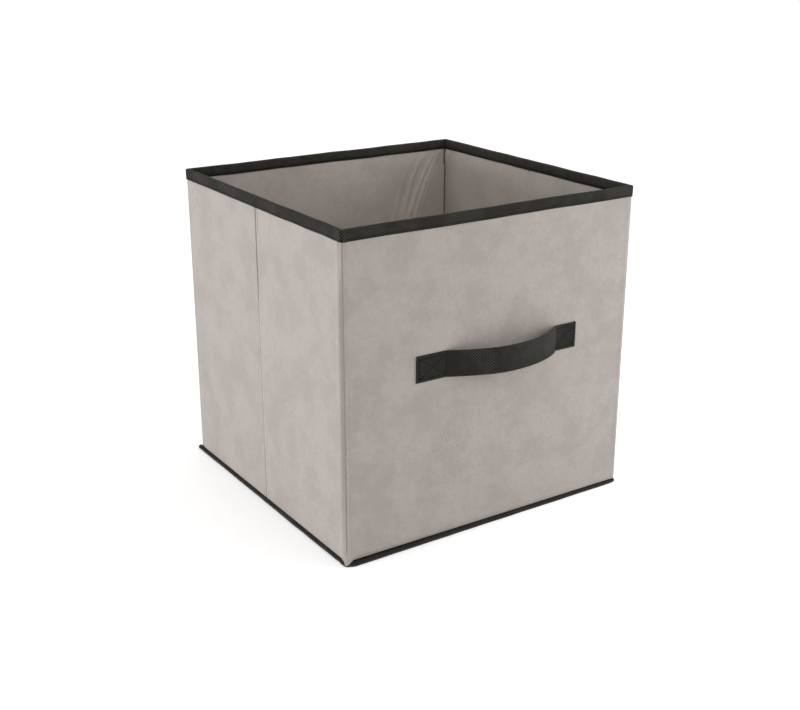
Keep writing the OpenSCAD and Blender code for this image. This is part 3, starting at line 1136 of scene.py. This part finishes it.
def build_handle():
    section = strap_section()
    path = bow_path()
    s, normal = path_frame(path)
    plan = path[:, None, :] + normal[:, None, :] * section[:, :1]
    up = np.broadcast_to(section[:, 1], plan.shape[:2])
    tone = 0.7 * smooth((np.abs(section[:, 1] - STRAP_Z) - STRAP_HALF + 1.2 * MM) / (1 * MM))
    obj = tube("strap", np.concatenate([plan, up[..., None]], axis=-1), s, section, tone)
    bend = bend_between("front", "handle", (0, -HALF_D - 3 * MM), (0, -HALF_D - 12 * MM))
    finish_piece(obj, None, bend, ["handle_strap", "handle_left_tab", "handle_right_tab"])
    inset = 3 * MM  # from a tab's edges to its stitching
    y = -HALF_D - STRAP_T
    low, high = STRAP_Z - STRAP_HALF + inset, STRAP_Z + STRAP_HALF - inset
    for name, x_low, x_high in (("left", TAB_END_L + inset, BOW_L - 0.5 * MM),
                                ("right", BOW_R + 0.5 * MM, TAB_END_R - inset)):
        a, b, c, d = (x_low, y, low), (x_high, y, low), (x_high, y, high), (x_low, y, high)
        for k, line in enumerate(((a, b, c, d, a), (a, c), (b, d))):
            stitch_row(f"{name}_tab_stitches_{k}", line, (0, -1, 0), WEBBING_THREAD, "front", None,
                       [f"handle_{name}_stitching"] if k == 0 else (), radius=0.34 * MM)


build_handle()


# ---- Boards ----

for node_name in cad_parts:
    if node_name.endswith("_board"):
        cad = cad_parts[node_name]
        cad.data.materials.clear()
        cad.data.materials.append(CARDBOARD)


# ---- Stage, light and camera ----

def build_stage():
    half = 40.0
    mesh = bpy.data.meshes.new("floor")
    corners = [(-half, -half, 0), (half, -half, 0), (half, half, 0), (-half, half, 0)]
    mesh.from_pydata(corners, [], [(0, 1, 2, 3)])
    white = (1, 1, 1, 1)
    mesh.materials.append(Nodes("pale_floor").finish(
        Base_Color=(0.92, 0.92, 0.92, 1), Roughness=0.9, Specular_IOR_Level=0.1,
        Emission_Color=white, Emission_Strength=0.18))
    place_object("floor", mesh)

    world = bpy.data.worlds.new("studio")
    world.use_nodes = True
    background = world.node_tree.nodes["Background"].inputs
    background["Color"].default_value = white
    background["Strength"].default_value = 1.0
    bpy.context.scene.world = world


def area_light(name, place, target, size, power, spread_deg=180):
    """A soft rectangular light that the camera doesn't see."""
    data = bpy.data.lights.new(name, "AREA")
    data.shape = "RECTANGLE"
    data.size, data.size_y = size
    data.energy = power
    data.spread = math.radians(spread_deg)
    light = place_object(name, data)
    light.location = place
    light.rotation_euler = Vector(np.subtract(target, place)).to_track_quat("-Z", "Y").to_euler()
    light.visible_camera = False


CAMERA_YAW = math.radians(33.2)
CAMERA_PITCH = math.radians(19.77)
CAMERA_PLACE = (-0.6503, -0.9895, 0.5499)
CAMERA_LENS = 54.9


def build_camera():
    data = bpy.data.cameras.new("camera")
    data.lens = CAMERA_LENS
    data.sensor_width = 36.0
    camera = place_object("camera", data)
    camera.location = CAMERA_PLACE
    camera.rotation_euler = (math.pi / 2 - CAMERA_PITCH, 0.0, -CAMERA_YAW)
    bpy.context.scene.camera = camera


build_stage()
area_light("side_light", (-2.4, 0.15, 0.30), (-HALF_W, 0.0, 0.15), (1.8, 0.55), 30)
area_light("front_light", (0.60, -0.48, 0.35), (0.12, -HALF_D, 0.17), (0.35, 0.5), 2.8)
area_light("inside_light", (-0.10, -0.25, 0.80), (0.13, IN_D, 0.24), (0.12, 0.12), 0.04, spread_deg=40)
build_camera()
bpy.context.scene.view_settings.view_transform = "Standard"
